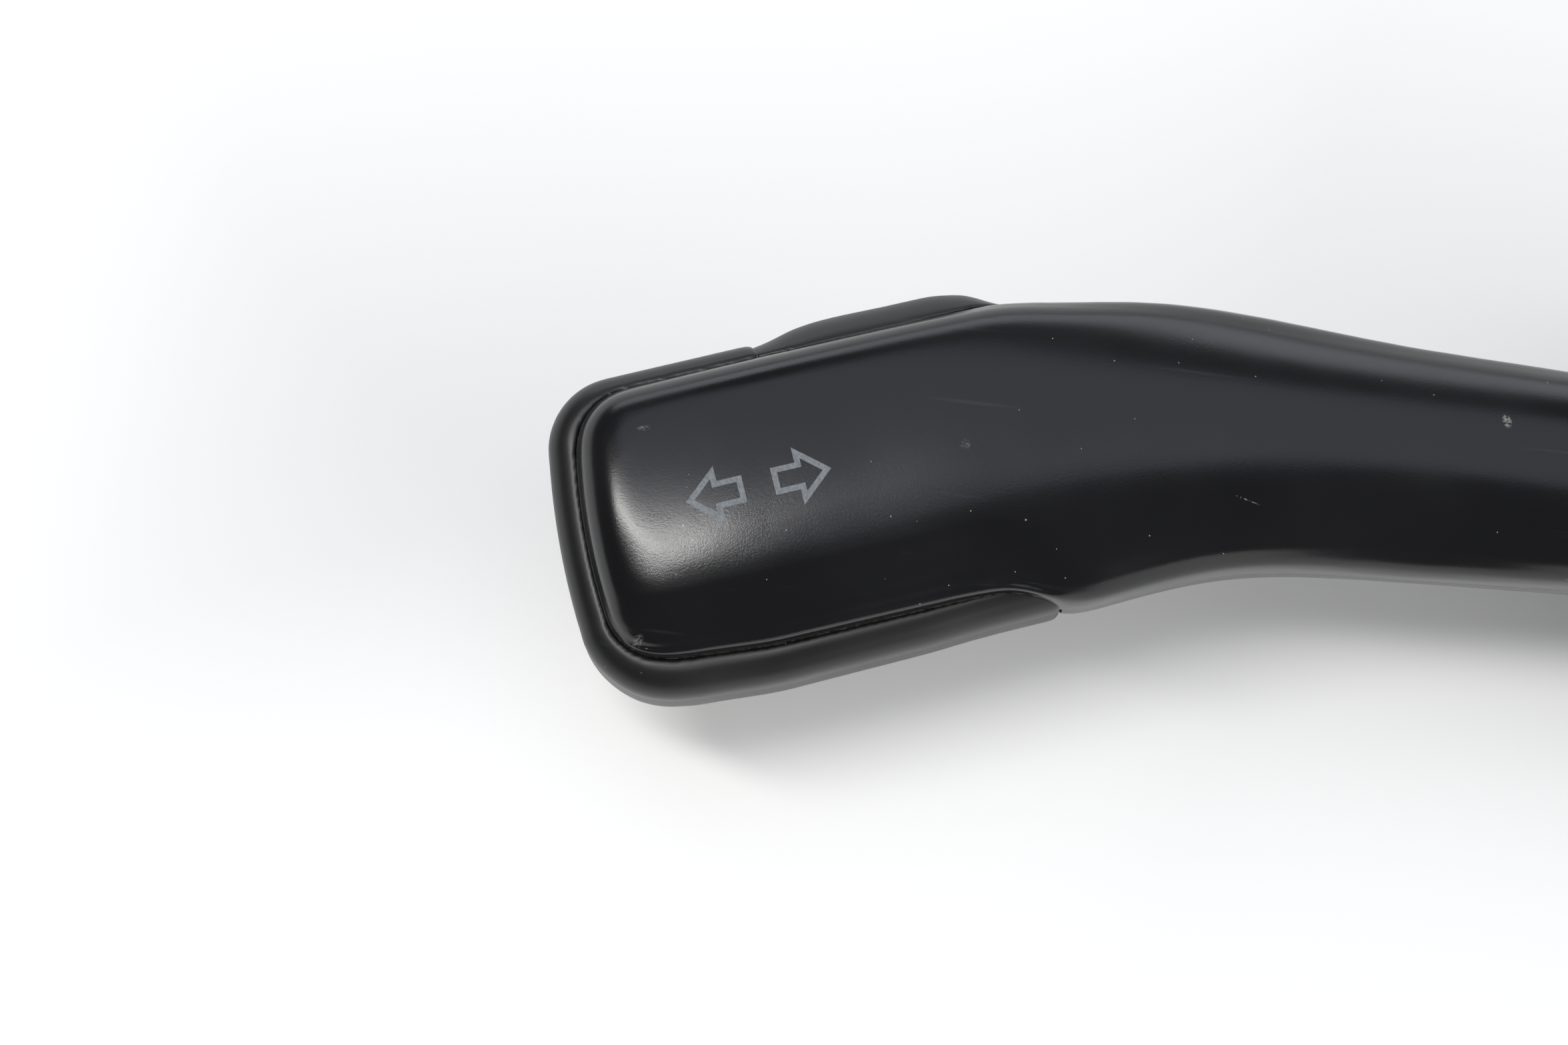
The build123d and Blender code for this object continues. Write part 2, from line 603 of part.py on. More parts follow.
def turn_carrier():
    """Yoke that turns about Z: cheeks for the dip pin, cam for the dip plunger, arm for the turn plunger."""
    shell = block(CARRIER_X0, CARRIER_X1, -CHEEK_OUT, CHEEK_OUT, CARRIER_Z0, CARRIER_Z1)
    shell = chamfer(shell.edges().filter_by(Axis.Z), 1.2)
    hollow = block(CARRIER_X0 - 1, CARRIER_X1 - 2.0, -CHEEK_IN, CHEEK_IN, CARRIER_Z0 + PLATE_T, CARRIER_Z1 - PLATE_T)
    sweep_room = rod_y(PIVOT_X, -CHEEK_IN, CHEEK_IN, LEVER_Z, DIP_REACH + GAP)
    body = shell - (hollow & sweep_room) - block(
        CARRIER_X0 - 1, PIVOT_X, -CHEEK_IN, CHEEK_IN, CARRIER_Z0 + PLATE_T, CARRIER_Z1 - PLATE_T)
    notch = rod_y(PIVOT_X + DIP_REACH - 0.9, -PLUNGER_R - 0.5, PLUNGER_R + 0.5, LEVER_Z, PLUNGER_NOSE_R + 0.3)
    arm = block(CARRIER_X1 - 1, ARM_X1, -CORE_HALF, CORE_HALF, LEVER_Z - CORE_HALF, LEVER_Z + CORE_HALF)
    trunnions = [
        post(PIVOT_X, 0, CARRIER_Z1 - 0.5, HOUSE_TOP - 0.6, TRUNNION_R),
        post(PIVOT_X, 0, PLATE_Z + 0.9, CARRIER_Z0 + 0.5, TRUNNION_R),
    ]
    drive = post(DRIVE_X, 0, SLIDER_Z0 + 0.5, CARRIER_Z0 + 0.5, DRIVE_R)
    body = joined([body.solids()[0], arm, drive] + trunnions)
    body -= notch
    body -= rod_x(TURN_BORE_X, ARM_X1 + 1, 0, LEVER_Z, PLUNGER_R + FIT)
    body -= rod_y(PIVOT_X, -CHEEK_OUT - 1, CHEEK_OUT + 1, LEVER_Z, DIP_PIN_R)
    return body.solids()[0]


# ---- housing -------------------------------------------------------------------------------------


def plate_screw_points():
    return ((10.0, 16.0), (-14.0, -16.0))


def mounting_plate():
    """Stamped steel plate with four fixing holes and waisted long sides."""
    plate = block(-PLATE_HALF_X, PLATE_HALF_X, -PLATE_HALF_Y, PLATE_HALF_Y, 0, PLATE_Z)
    plate = fillet(plate.edges().filter_by(Axis.Z), 7)
    for y in (-1, 1):
        plate -= post(0, y * (PLATE_HALF_Y + 22), -1, PLATE_Z + 1, 28)
    plate = plate.cut(*[post(x, y, -1, PLATE_Z + 1, HOLE_R) for x in (-HOLE_X, HOLE_X) for y in (-HOLE_Y, HOLE_Y)])
    for x, y in plate_screw_points():
        plate -= post(x, y, -1, PLATE_Z + 1, 1.7)
        plate -= Pos(x, y, 0.7) * Cone(3.1, 1.7, 1.4)
    return plate.solids()[0]


def plate_screws():
    """Countersunk screws from the back of the plate into the housing."""
    screws = []
    for x, y in plate_screw_points():
        head = Pos(x, y, 0.8) * Cone(2.9, 1.5, 1.3)
        shank = post(x, y, 0.8, 9.0, 1.5)
        recess = [Pos(x, y, 0.15) * Box(3.2, 0.6, 1.2), Pos(x, y, 0.15) * Box(0.6, 3.2, 1.2)]
        screws.append(head.fuse(shank).cut(*recess).solids()[0])
    return Compound(children=screws)


def housing_body():
    """Box with a ball nose round the pivot, hollow, with the lever's mouth."""
    box = block(-HOUSE_X, HOUSE_X, -HOUSE_Y, HOUSE_Y, PLATE_Z, HOUSE_TOP)
    box = fillet(box.edges().filter_by(Axis.Z), HOUSE_R)
    centre = Pos(PIVOT_X, 0, LEVER_Z)
    nose = (centre * Sphere(BALL_R)) & block(PIVOT_X - BALL_R, -HOUSE_X + 1, -30, 30, PLATE_Z, HOUSE_TOP)
    outer = box.fuse(nose.solids()[0])
    room = block(-HOUSE_X + HOUSE_WALL, HOUSE_X - HOUSE_WALL, -HOUSE_Y + HOUSE_WALL, HOUSE_Y - HOUSE_WALL,
                 PLATE_Z + HOUSE_WALL, HOUSE_TOP - HOUSE_WALL)
    nose_room = centre * Sphere(BALL_R - BALL_WALL)
    nose_room &= block(PIVOT_X - BALL_R, -10, -30, 30, PLATE_Z + HOUSE_WALL, HOUSE_TOP - HOUSE_WALL)
    mouth = block(PIVOT_X - BALL_R - 2, PIVOT_X - 8, -MOUTH_Y, MOUTH_Y, LEVER_Z - MOUTH_Z, LEVER_Z + MOUTH_Z)
    mouth = fillet(mouth.edges().filter_by(Axis.X), 3)
    return outer.cut(room, nose_room, mouth)


def corners():
    return [(sx * COLUMN_X, sy * COLUMN_Y) for sx in (-1, 1) for sy in (-1, 1)]


def housing_base():
    """Lower half, with screw columns, board posts, the turn bearing and the connector's cutout."""
    half = housing_body() & block(-60, 60, -60, 60, 0, LEVER_Z)
    floor = PLATE_Z + HOUSE_WALL
    adds = [post(x, y, floor - 0.5, LEVER_Z, COLUMN_R) & block(-HOUSE_X + 1, HOUSE_X - 1, -HOUSE_Y + 1,
                                                               HOUSE_Y - 1, 0, 60) for x, y in corners()]
    adds += [post(PIVOT_X, 0, floor - 0.5, BOARD_Z - 0.2, TRUNNION_R + 2.2)]
    adds += [post(x, y, floor - 0.5, BOARD_Z, 2.2) for x, y in ((-22, 12), (-22, -12), (22, 8), (22, -8), (0, 19))]
    adds += [post(x, y, floor - 0.5, 10.0, 3.2) for x, y in plate_screw_points()]
    base = joined([half.solids()[0]] + [a.solids()[0] for a in adds])
    base -= post(PIVOT_X, 0, PLATE_Z + 0.8, 40, TRUNNION_R + FIT)
    for x, y in corners():
        base -= post(x, y, LEVER_Z - 12, LEVER_Z + 1, 1.3)
    for x, y in plate_screw_points():
        base -= post(x, y, PLATE_Z - 1, 9.0, 1.5)
    base -= block(SOCKET_X0, SOCKET_X1, -40, -HOUSE_Y + HOUSE_WALL + 1, SOCKET_Z0, SOCKET_Z1)
    return base.solids()[0]


def housing_cover():
    """Upper half, with the top bearing, the pawl's boss, screw columns and the steering-side slot."""
    half = housing_body() & block(-60, 60, -60, 60, LEVER_Z, 60)
    roof = HOUSE_TOP - HOUSE_WALL
    adds = [post(x, y, LEVER_Z, roof + 0.5, COLUMN_R) & block(-HOUSE_X + 1, HOUSE_X - 1, -HOUSE_Y + 1,
                                                              HOUSE_Y - 1, 0, 60) for x, y in corners()]
    adds += [post(PIVOT_X, 0, CARRIER_Z1 + 1.2, roof + 0.5, TRUNNION_R + 2.4)]
    adds += [post(PAWL_X, 0, PAWL_Z + PAWL_T + 2.9, roof + 0.5, PAWL_HUB_R)]
    cover = joined([half.solids()[0]] + [a.solids()[0] for a in adds])
    cover -= post(PIVOT_X, 0, 20, HOUSE_TOP + 1, TRUNNION_R + FIT)
    cover -= post(PAWL_X, 0, 20, roof, PAWL_PIN_R)
    cover -= block(HOUSE_X - 5, HOUSE_X + 1, -9.5, 9.5, PAWL_Z - 1.0, PAWL_Z + PAWL_T + 1.0)
    for x, y in corners():
        cover -= post(x, y, 20, HOUSE_TOP + 1, 1.65)
        cover -= post(x, y, HOUSE_TOP - 2.4, HOUSE_TOP + 1, 2.9)
    return cover.solids()[0]


def cover_screws():
    seat = HOUSE_TOP - 2.4
    return Compound(children=[screw(x, y, seat, LEVER_Z - 11, 1.3, 2.7, 1.8) for x, y in corners()])


# ---- electrics -----------------------------------------------------------------------------------


def circuit_board():
    board = block(-25.5, 25.5, -20.5, 20.5, BOARD_Z, BOARD_Z + BOARD_T)
    board -= post(PIVOT_X, 0, 0, 20, TRUNNION_R + 0.8)
    board = board.cut(*[post(x, y, 0, 20, COLUMN_R + 0.4) for x, y in corners()])
    board = board.cut(*[post(x, y, 0, 20, 3.4) for x, y in plate_screw_points()])
    return board.solids()[0]


TRACKS = (-4.6, 4.6)


def contact_tracks():
    """Copper pads under the slider's bridges, three along each line."""
    top = BOARD_Z + BOARD_T
    pads = [block(x - 1.1, x + 1.1, y - 2.2, y + 2.2, top, top + TRACK_T) for x in TRACKS for y in (-5.6, 0, 5.6)]
    return Compound(children=pads)


def board_chips():
    """Resistor packs and a driver chip on the free end of the board."""
    top = BOARD_Z + BOARD_T
    chips = [block(-11 + 6 * k, -7.5 + 6 * k, 12.6, 14.6, top, top + 0.8) for k in range(3)]
    chips.append(block(18.5, 23, -3, 3, top, top + 1.5))
    return Compound(children=chips)


def slider_guide():
    """Frame on the board that guides the contact slider along Y."""
    top = BOARD_Z + BOARD_T
    travel = 4.1
    frame = block(-SLIDER_HALF_X - 2.1, SLIDER_HALF_X + 2.1, -SLIDER_HALF_Y - travel - 1.9,
                  SLIDER_HALF_Y + travel + 1.9, top, SLIDER_Z0 + 2.4)
    room = block(-SLIDER_HALF_X - 0.12, SLIDER_HALF_X + 0.12, -SLIDER_HALF_Y - travel - GAP,
                 SLIDER_HALF_Y + travel + GAP, top - 1, SLIDER_Z0 + 6)
    return (frame - room).solids()[0]


def turn_slider():
    """Contact slider, moved along Y by the carrier's drive pin in its slot."""
    body = block(-SLIDER_HALF_X, SLIDER_HALF_X, -SLIDER_HALF_Y, SLIDER_HALF_Y, SLIDER_Z0, SLIDER_Z0 + SLIDER_T)
    slot = block(DRIVE_X - 2.5, DRIVE_X + 2.5, -DRIVE_R - 0.2, DRIVE_R + 0.2, SLIDER_Z0 - 1, SLIDER_Z0 + 6)
    return (body - slot).solids()[0]


def slider_contacts():
    """Two spring bridges under the slider, each with a raised foot at both ends."""
    z1 = SLIDER_Z0
    z0 = z1 - CONTACT_T
    bridges = [block(x - 0.9, x + 0.9, -4.4, 4.4, z0, z1) for x in TRACKS]
    return Compound(children=bridges)


def turn_detent_cam():
    """Upright block with the three-notch track for the turn plunger and a seat for the pawl's pin."""
    top = BOARD_Z + BOARD_T
    foot = block(11, 17, -10, 10, top, 16.5)
    track = block(7, 17, -12, 12, 16, 26)
    head = block(11, 17, -4.5, 4.5, 25, PAWL_Z - 0.5)
    body = joined([foot, track, head])
    body -= post(PIVOT_X, 0, 15, 27, TURN_REACH + GAP)
    for a in (-TURN_ANGLE, 0, TURN_ANGLE):
        reach = TURN_REACH - 0.6
        body -= post(PIVOT_X + reach * cos(radians(a)), reach * sin(radians(a)), 16, 26, PLUNGER_NOSE_R + 0.3)
    body -= post(PAWL_X, 0, PAWL_Z - 3.5, PAWL_Z, PAWL_PIN_R)
    return body.solids()[0]


def cancel_pawl():
    """Finger that the steering shaft's cam meets, with a tail over the detent block."""
    hub = post(PAWL_X, 0, PAWL_Z, PAWL_Z + PAWL_T, PAWL_HUB_R)
    nose = post(PAWL_TIP_X - 1.6, 0, PAWL_Z, PAWL_Z + PAWL_T, 1.6)
    arm = block(PAWL_X, PAWL_TIP_X - 1.6, -1.6, 1.6, PAWL_Z, PAWL_Z + PAWL_T)
    tail = block(PAWL_TAIL_X, PAWL_X, -1.8, 1.8, PAWL_Z, PAWL_Z + PAWL_T)
    body = joined([hub, nose, arm, tail])
    return (body - post(PAWL_X, 0, 0, 50, PAWL_PIN_R + FIT)).solids()[0]


def pawl_pin():
    return post(PAWL_X, 0, PAWL_Z - 3.5, HOUSE_TOP - HOUSE_WALL, PAWL_PIN_R)


def pawl_spring():
    """Torsion coil round the pin, between the pawl and the cover's boss."""
    wire = 0.3
    path = Helix(pitch=0.75, height=1.5, radius=PAWL_PIN_R + 0.8)
    section = Plane(origin=path @ 0, z_dir=path % 0) * Circle(wire)
    return Pos(PAWL_X, 0, PAWL_Z + PAWL_T + 2.9 - 1.5 - wire) * sweep(section, path)


def socket_pins():
    count = 4
    first = (SOCKET_X0 + SOCKET_X1) / 2 - PIN_PITCH * (count - 1) / 2
    return [first + PIN_PITCH * k for k in range(count)]


def terminal_pins():
    """Two rows of bent terminals from the board into the socket."""
    top = BOARD_Z + BOARD_T
    pins = []
    for row, z in enumerate(PIN_ROWS):
        back = -19.0 + 2.6 * row
        for x in socket_pins():
            reach = block(x - PIN_HALF, x + PIN_HALF, -30.5, back + PIN_HALF, z - PIN_HALF, z + PIN_HALF)
            leg = block(x - PIN_HALF, x + PIN_HALF, back - PIN_HALF, back + PIN_HALF, top, z)
            pins.append(reach.fuse(leg))
    return Compound(children=pins)


def connector_shroud():
    """Plug socket on the housing's lower side."""
    back = -HOUSE_Y + HOUSE_WALL
    body = block(SOCKET_X0, SOCKET_X1, -SOCKET_Y, back, SOCKET_Z0, SOCKET_Z1)
    body = fillet(body.edges().filter_by(Axis.Y), 0.8)
    body -= block(SOCKET_X0 + SOCKET_WALL, SOCKET_X1 - SOCKET_WALL, -SOCKET_Y - 1, -HOUSE_Y - 1.4,
                  SOCKET_Z0 + SOCKET_WALL, SOCKET_Z1 - SOCKET_WALL)
    key = block((SOCKET_X0 + SOCKET_X1) / 2 - 1.5, (SOCKET_X0 + SOCKET_X1) / 2 + 1.5, -SOCKET_Y, -HOUSE_Y - 3,
                SOCKET_Z1 - 0.2, SOCKET_Z1 + 1.2)
    body = body.fuse(key)
    for z in PIN_ROWS:
        for x in socket_pins():
            body -= block(x - PIN_HALF, x + PIN_HALF, -31, back + 1, z - PIN_HALF, z + PIN_HALF)
    return body.solids()[0]


PIECES = {
    "front_shell": front_shell,
    "neck_rear_shell": neck_rear_shell,
    "head_rear_shell": head_rear_shell,
    "head_board": head_board,
    "side_switches": side_switches,
    "rocker_button": rocker_button,
    "rocker_pin": rocker_pin,
    "head_screws": head_screws,
    "neck_screws": neck_screws,
    "lever_core": lever_core,
    "root_dome": root_dome,
    "lead_wires": lead_wires,
    "lead_plug": lead_plug,
    "dip_pin": dip_pin,
    "dip_plunger": dip_plunger,
    "dip_spring": dip_spring,
    "turn_plunger": turn_plunger,
    "turn_spring": turn_spring,
    "turn_carrier": turn_carrier,
    "mounting_plate": mounting_plate,
    "plate_screws": plate_screws,
    "housing_base": housing_base,
    "housing_cover": housing_cover,
    "cover_screws": cover_screws,
    "circuit_board": circuit_board,
    "contact_tracks": contact_tracks,
    "board_chips": board_chips,
    "slider_guide": slider_guide,
    "turn_slider": turn_slider,
    "slider_contacts": slider_contacts,
    "turn_detent_cam": turn_detent_cam,
    "cancel_pawl": cancel_pawl,
    "pawl_pin": pawl_pin,
    "pawl_spring": pawl_spring,
    "terminal_pins": terminal_pins,
    "connector_shroud": connector_shroud,
}


def main():
    os.makedirs("parts", exist_ok=True)
    for node, make in PIECES.items():
        export_step(make(), f"parts/{node}.step")


if __name__ == "__main__":
    main()
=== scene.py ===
"""Combination stalk switch, dressed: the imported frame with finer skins, materials, light and camera."""
import json
import math

import bmesh
import bpy
import numpy as np
from mathutils import Matrix, Vector


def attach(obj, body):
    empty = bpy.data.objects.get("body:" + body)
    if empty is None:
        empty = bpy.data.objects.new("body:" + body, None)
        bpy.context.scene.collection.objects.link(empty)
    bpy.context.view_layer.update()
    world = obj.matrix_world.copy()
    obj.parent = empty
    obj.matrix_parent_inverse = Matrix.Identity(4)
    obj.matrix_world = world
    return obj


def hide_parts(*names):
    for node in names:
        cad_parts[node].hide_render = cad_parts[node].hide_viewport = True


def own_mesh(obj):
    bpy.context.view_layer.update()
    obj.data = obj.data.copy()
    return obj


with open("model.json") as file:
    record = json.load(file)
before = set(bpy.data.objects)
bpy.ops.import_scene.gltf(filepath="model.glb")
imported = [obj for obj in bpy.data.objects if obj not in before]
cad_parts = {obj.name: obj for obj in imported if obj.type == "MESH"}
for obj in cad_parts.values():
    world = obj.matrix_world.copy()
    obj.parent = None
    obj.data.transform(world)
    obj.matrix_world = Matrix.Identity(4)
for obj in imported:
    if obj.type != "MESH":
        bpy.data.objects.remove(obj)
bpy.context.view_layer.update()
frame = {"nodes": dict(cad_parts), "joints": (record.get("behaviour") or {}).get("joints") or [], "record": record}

MM = 0.001

# ---- sizes of the lever, in millimetres, as in the solids ------------------------------------------
LEVER_Z = 21.0
HEAD_POINT = (-132.3, -9.3)
HEAD_TILT = math.radians(20.0)


def along(t, w, z=0.0):
    """Point of the head in metres: t along its centre line, w across it, z from the middle plane."""
    x = HEAD_POINT[0] + t * math.cos(HEAD_TILT) - w * math.sin(HEAD_TILT)
    y = HEAD_POINT[1] + t * math.sin(HEAD_TILT) + w * math.cos(HEAD_TILT)
    return Vector((x, y, LEVER_Z + z)) * MM


# ---- materials -------------------------------------------------------------------------------------

# Pitches and sizes of the patterns, in millimetres. The grain of moulded plastic and the lines on metal
# are drawn coarser than real ones, as coarse as they need to be to show.
# A span is the range of a pattern's values over which a mark sets in.
FLOW_MM = 14.0           # clouds left by the flow of the plastic
FLOW_SHEEN = {"From Min": 0.3, "From Max": 0.7}
FLOW_TINT = {"From Min": 0.35, "From Max": 0.75}
FLOW_PALE = 0.35         # how far the clouds go towards the pale tint
FINE_GRAIN = 0.45        # pitch of the finer grain on top, as part of the grain's
RUB_MM = 1.3             # spacing of the hairline rubs
RUB_TURN = (0, 0, 0.9)
RUB_STRETCH = (0.05, 1.0, 1.0)
RUB_SPAN = {"From Min": 0.69, "From Max": 0.76}
RUB_STRENGTH = 0.06
RUB_GREY = "#6a6a68"
WORN_GRAIN_MM = 0.22     # how finely a worn spot breaks up
WORN_SPAN = {"From Min": 0.44, "From Max": 0.56}
WORN_RIM = {"From Min": 1.0, "From Max": 0.5}    # a spot sets in from its rim to half way in
WORN_DULL = 0.3          # and adds this to the roughness
WORN_GREY = "#9b9a93"
DUST_MM = 1.1            # spacing of the dust specks
DUST_RIM = {"From Min": 0.06, "From Max": 0.036}     # as parts of the spacing
DUST_SPAN = {"From Min": 0.80, "From Max": 0.82}     # the other cells stay empty
DUST_GREY = "#a9a7a0"
LEDGE_FOOT_MM = 0.12     # dust in a seam fades over this height at its foot,
LEDGE_TOP_MM = 0.15      # over this height at its top,
LEDGE_END_MM = 1.0       # and over this length at its end
LEDGE_GRAIN_MM = 0.5
LEDGE_COVER = {"From Min": 0.38, "From Max": 0.66, "To Min": 0.03, "To Max": 0.30}
LEDGE_DULL = 0.5
LEDGE_GREY = "#8d857a"
MOTTLE_MM = 6.0          # tint clouds on metal
MOTTLE_SPAN = {"From Min": 0.35, "From Max": 0.7}
LINE_SPAN = {"From Min": 0.3, "From Max": 0.7}   # drawing lines on metal
LINE_SHEEN = 0.07        # change its roughness by this much
LINE_STRENGTH = 0.6
TRACK_WIDTH = 0.25       # copper tracks under the solder mask
TRACK_LENGTH = 5.0
TRACK_PITCH = 1.7
COPPER_HEIGHT = 0.035
TRACK_STRENGTH = 0.5
MASK_GREEN = "#0f4a26"
MASK_OVER_TRACK = "#1d6a3a"
INK_GRAIN_MM = 0.28
INK_SPAN = {"From Min": 0.35, "From Max": 0.65}
INK_THIN = "#5a5f63"
INK_THICK = "#70757a"
MIX_A, MIX_B = 6, 7      # numbers of a Mix node's colour inputs


def rgb(code):
    """sRGB hex to linear colour."""
    parts = [int(code[i:i + 2], 16) / 255 for i in (1, 3, 5)]
    return tuple(c / 12.92 if c <= 0.04045 else ((c + 0.055) / 1.055) ** 2.4 for c in parts) + (1.0,)


def per(pitch_mm):
    """Scale of a pattern whose features are about pitch_mm across."""
    return 1.0 / (pitch_mm * MM)


def connect(tree, node, links):
    """Fills a node's inputs, by name or number, with values, with other nodes' outputs, or with other
    nodes, whose first live output is then meant."""
    for key, value in links.items():
        if isinstance(value, bpy.types.Node):
            value = next(socket for socket in value.outputs if socket.enabled)
        if isinstance(value, bpy.types.NodeSocket):
            tree.links.new(value, node.inputs[key])
        else:
            node.inputs[key].default_value = value


def add(tree, kind, links=None, **settings):
    """Adds one node with its settings and links."""
    node = tree.nodes.new(kind)
    for key, value in settings.items():
        setattr(node, key, value)
    connect(tree, node, links or {})
    return node


def shader(name, code, roughness, metallic=0.0):
    """New material with its tree, its Principled shader and its object coordinates. The shader's own
    IOR of 1.5 is that of these plastics and of the ink."""
    material = bpy.data.materials.new(name)
    material.use_nodes = True
    tree = material.node_tree
    bsdf = tree.nodes["Principled BSDF"]
    connect(tree, bsdf, {"Base Color": rgb(code), "Roughness": roughness, "Metallic": metallic})
    place = add(tree, "ShaderNodeTexCoord").outputs["Object"]
    return material, tree, bsdf, place


def fallen_dust(tree, place):
    """Mask of scattered specks, at most one in each cell, most cells empty."""
    cells = add(tree, "ShaderNodeTexVoronoi", {"Vector": place, "Scale": per(DUST_MM)})
    near = add(tree, "ShaderNodeMapRange", {"Value": cells.outputs["Distance"], **DUST_RIM})
    pick = add(tree, "ShaderNodeSeparateColor", {"Color": cells.outputs["Color"]})
    some = add(tree, "ShaderNodeMapRange", {"Value": pick.outputs["Red"], **DUST_SPAN})
    return add(tree, "ShaderNodeMath", {0: near, 1: some}, operation="MULTIPLY")


def worn_spot(tree, place, centre_mm, reach_mm, angle):
    """Mask of one worn spot: an ellipsoid of given half sizes, turned about Z and broken up by noise."""
    local = add(tree, "ShaderNodeMapping", {"Vector": place, "Location": [c * MM for c in centre_mm],
                "Rotation": (0, 0, math.radians(angle)), "Scale": [r * MM for r in reach_mm]},
                vector_type="TEXTURE")
    away = add(tree, "ShaderNodeVectorMath", {0: local}, operation="LENGTH")
    inside = add(tree, "ShaderNodeMapRange", {"Value": away, **WORN_RIM})
    flecks = add(tree, "ShaderNodeTexNoise", {"Vector": place, "Scale": per(WORN_GRAIN_MM), "Detail": 3.0})
    broken = add(tree, "ShaderNodeMapRange", {"Value": flecks, **WORN_SPAN})
    return add(tree, "ShaderNodeMath", {0: inside, 1: broken}, operation="MULTIPLY")


def seam_dust(tree, place, low, high, end):
    """Mask of dust in a seam: it lies between two heights, and fades out towards an end along X."""
    spot = add(tree, "ShaderNodeSeparateXYZ", {"Vector": place})
    band = add(tree, "ShaderNodeMapRange", {"Value": spot.outputs["Z"], "From Min": low * MM,
               "From Max": (low + LEDGE_FOOT_MM) * MM})
    top = add(tree, "ShaderNodeMapRange", {"Value": spot.outputs["Z"], "From Min": high * MM,
              "From Max": (high - LEDGE_TOP_MM) * MM})
    near = add(tree, "ShaderNodeMapRange", {"Value": spot.outputs["X"], "From Min": end * MM,
               "From Max": (end - LEDGE_END_MM) * MM})
    lumps = add(tree, "ShaderNodeTexNoise", {"Vector": place, "Scale": per(LEDGE_GRAIN_MM), "Detail": 4.0})
    cover = add(tree, "ShaderNodeMapRange", {"Value": lumps, **LEDGE_COVER})
    for limit in (top, near, cover):
        band = add(tree, "ShaderNodeMath", {0: band, 1: limit}, operation="MULTIPLY")
    return band


def moulded(name, code, pale, roughness, grain_mm, depth_mm, dust=0.0, worn=0.04, patches=(), ledge=None):
    """Moulded thermoplastic: grain from the tool, clouds where the plastic flowed, hairline rubs, and
    where asked dust specks, worn spots and dust in a seam."""
    material, tree, bsdf, place = shader(name, code, roughness)
    coarse = add(tree, "ShaderNodeTexNoise", {"Vector": place, "Scale": per(grain_mm), "Detail": 3.0})
    fine = add(tree, "ShaderNodeTexNoise", {"Vector": place, "Scale": per(grain_mm * FINE_GRAIN),
               "Detail": 1.0})
    grain = add(tree, "ShaderNodeMath", {0: coarse, 1: fine}, operation="ADD")
    bump = add(tree, "ShaderNodeBump", {"Height": grain, "Strength": 1.0, "Distance": depth_mm * MM})

    flow = add(tree, "ShaderNodeTexNoise", {"Vector": place, "Scale": per(FLOW_MM), "Detail": 3.0})
    rough = add(tree, "ShaderNodeMapRange", {"Value": flow, **FLOW_SHEEN, "To Min": roughness - worn,
                "To Max": roughness + worn})
    tint = add(tree, "ShaderNodeMapRange", {"Value": flow, **FLOW_TINT, "To Max": FLOW_PALE})
    colour = add(tree, "ShaderNodeMix", {0: tint, MIX_A: rgb(code), MIX_B: rgb(pale)}, data_type="RGBA")

    drawn = add(tree, "ShaderNodeMapping", {"Vector": place, "Rotation": RUB_TURN, "Scale": RUB_STRETCH})
    rubs = add(tree, "ShaderNodeTexNoise", {"Vector": drawn, "Scale": per(RUB_MM), "Detail": 2.0})
    hair = add(tree, "ShaderNodeMapRange", {"Value": rubs, **RUB_SPAN})
    marks = [(hair, RUB_STRENGTH, RUB_GREY, None)]
    if dust:
        marks.append((fallen_dust(tree, place), dust, DUST_GREY, None))
    for centre, reach, angle, strength in patches:
        marks.append((worn_spot(tree, place, centre, reach, angle), strength, WORN_GREY, WORN_DULL))
    if ledge:
        marks.append((seam_dust(tree, place, *ledge), 1.0, LEDGE_GREY, LEDGE_DULL))
    for mask, strength, grey, dull in marks:
        mask = add(tree, "ShaderNodeMath", {0: mask, 1: strength}, operation="MULTIPLY")
        colour = add(tree, "ShaderNodeMix", {0: mask, MIX_A: colour, MIX_B: rgb(grey)}, data_type="RGBA")
        if dull:
            duller = add(tree, "ShaderNodeMath", {0: mask, 1: dull}, operation="MULTIPLY")
            rough = add(tree, "ShaderNodeMath", {0: rough, 1: duller}, operation="ADD")
    connect(tree, bsdf, {"Base Color": colour, "Roughness": rough, "Normal": bump})
    return material


def metal(name, code, second, roughness, lines_mm, stretch=(1.0, 1.0, 1.0), depth_mm=0.004):
    """Bare or plated metal with a mottled tint; stretch draws its unevenness out into lines."""
    material, tree, bsdf, place = shader(name, code, roughness, 1.0)
    drawn = add(tree, "ShaderNodeMapping", {"Vector": place, "Scale": stretch})
    lines = add(tree, "ShaderNodeTexNoise", {"Vector": drawn, "Scale": per(lines_mm), "Detail": 2.0})
    sheen = add(tree, "ShaderNodeMapRange", {"Value": lines, **LINE_SPAN, "To Min": roughness - LINE_SHEEN,
                "To Max": roughness + LINE_SHEEN})
    cloud = add(tree, "ShaderNodeTexNoise", {"Vector": place, "Scale": per(MOTTLE_MM), "Detail": 3.0})
    mottle = add(tree, "ShaderNodeMapRange", {"Value": cloud, **MOTTLE_SPAN})
    tint = add(tree, "ShaderNodeMix", {0: mottle, MIX_A: rgb(code), MIX_B: rgb(second)}, data_type="RGBA")
    bump = add(tree, "ShaderNodeBump", {"Height": lines, "Strength": LINE_STRENGTH,
               "Distance": depth_mm * MM})
    connect(tree, bsdf, {"Base Color": tint, "Roughness": sheen, "Normal": bump})
    return material


